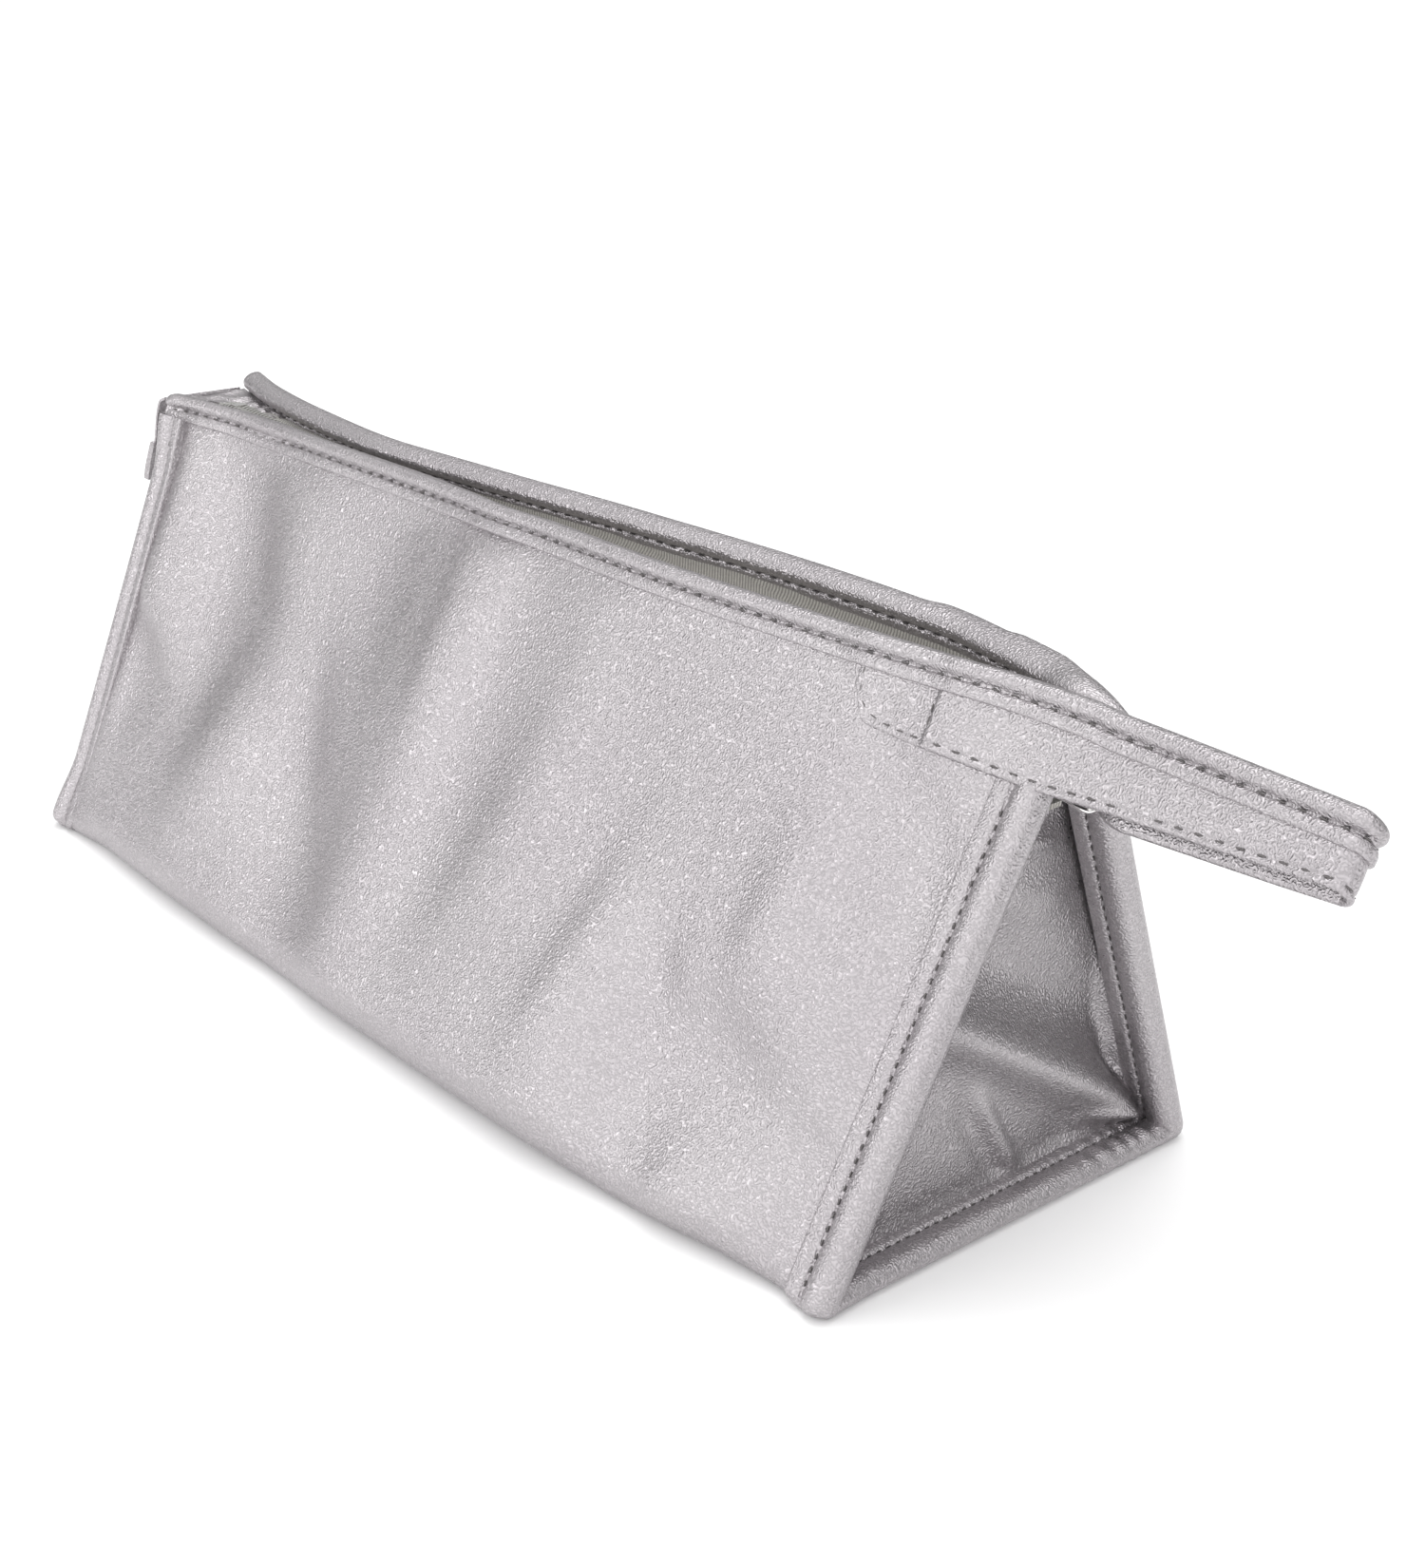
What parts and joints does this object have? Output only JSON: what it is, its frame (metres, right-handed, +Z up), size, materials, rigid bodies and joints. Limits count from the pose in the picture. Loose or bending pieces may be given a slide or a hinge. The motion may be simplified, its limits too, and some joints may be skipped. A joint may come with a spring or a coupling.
{
  "type": "zipped pouch",
  "caption": "Long padded pouch of triangular section in metallic coated fabric, with a zip along its ridge, bound edges, recessed end panels and a loop handle at one end.",
  "frame": {"origin": "centre of the flat base, on the surface that the pouch stands on", "axes": "+X along the pouch towards the handle, +Y towards the back wall, +Z up"},
  "size_m": [0.3915, 0.1198, 0.1193],
  "materials": {
    "silver_leather": "pearl metallic coated fabric with a fine pebble grain",
    "lining_cloth": "plain woven polyester",
    "foam": "closed sheet foam",
    "stiffener": "sheet board",
    "zip_tape": "herringbone woven tape",
    "zip_coil": "wound monofilament coil",
    "bright_metal": "polished nickel plate"
  },
  "bodies": {
    "base": {"base_panel": "silver_leather", "base_board": "stiffener", "base_lining": "lining_cloth", "right_gusset": "silver_leather", "right_gusset_lining": "lining_cloth", "right_base_binding": "silver_leather", "left_gusset": "silver_leather", "left_gusset_lining": "lining_cloth", "left_base_binding": "silver_leather", "right_zip_end": "zip_tape", "left_zip_end": "zip_tape", "right_zip_stop": "bright_metal", "left_zip_stop": "bright_metal"},
    "front_wall": {"front_panel": "silver_leather", "front_padding": "foam", "front_lining": "lining_cloth", "front_top_binding": "silver_leather", "left_front_binding": "silver_leather", "right_front_binding": "silver_leather", "front_zip_tape": "zip_tape", "front_zip_coil": "zip_coil", "front_strap_patch": "silver_leather", "front_strap_root": "silver_leather"},
    "back_wall": {"back_panel": "silver_leather", "back_padding": "foam", "back_lining": "lining_cloth", "back_top_binding": "silver_leather", "left_back_binding": "silver_leather", "right_back_binding": "silver_leather", "back_zip_tape": "zip_tape", "back_zip_coil": "zip_coil", "back_strap_patch": "silver_leather", "back_strap_root": "silver_leather"},
    "zip_slider": {"slider_body": "bright_metal"},
    "zip_pull": {"pull_ring": "bright_metal"},
    "zip_tail": {"tail_tape": "zip_tape", "tail_tab": "silver_leather"},
    "handle": {"handle_strap": "silver_leather", "handle_binding": "silver_leather"}
  },
  "joints": [
    {"name": "front_wall_fold", "type": "hinge", "parent": "base", "child": "front_wall", "pos_m": [0, -0.059, 0], "axis": [1, 0, 0], "range_deg": [0, 15]},
    {"name": "back_wall_fold", "type": "hinge", "parent": "base", "child": "back_wall", "pos_m": [0, 0.059, 0], "axis": [-1, 0, 0], "range_deg": [0, 15]},
    {"name": "zip_slide", "type": "slide", "parent": "base", "child": "zip_slider", "axis": [-0.9972, 0, 0.0748], "range_m": [0, 0.266]},
    {"name": "pull_swing", "type": "hinge", "parent": "zip_slider", "child": "zip_pull", "pos_m": [0.13586, 0, 0.0986], "axis": [0, -1, 0], "range_deg": [0, 140]},
    {"name": "handle_swing", "type": "hinge", "parent": "base", "child": "handle", "pos_m": [0.176, 0, 0.111], "axis": [0, -1, 0], "range_deg": [-45, 45]},
    {"name": "tail_lift", "type": "hinge", "parent": "base", "child": "zip_tail", "pos_m": [-0.1575, 0, 0.1157], "axis": [0, 1, 0], "range_deg": [0, 80]}
  ]
}
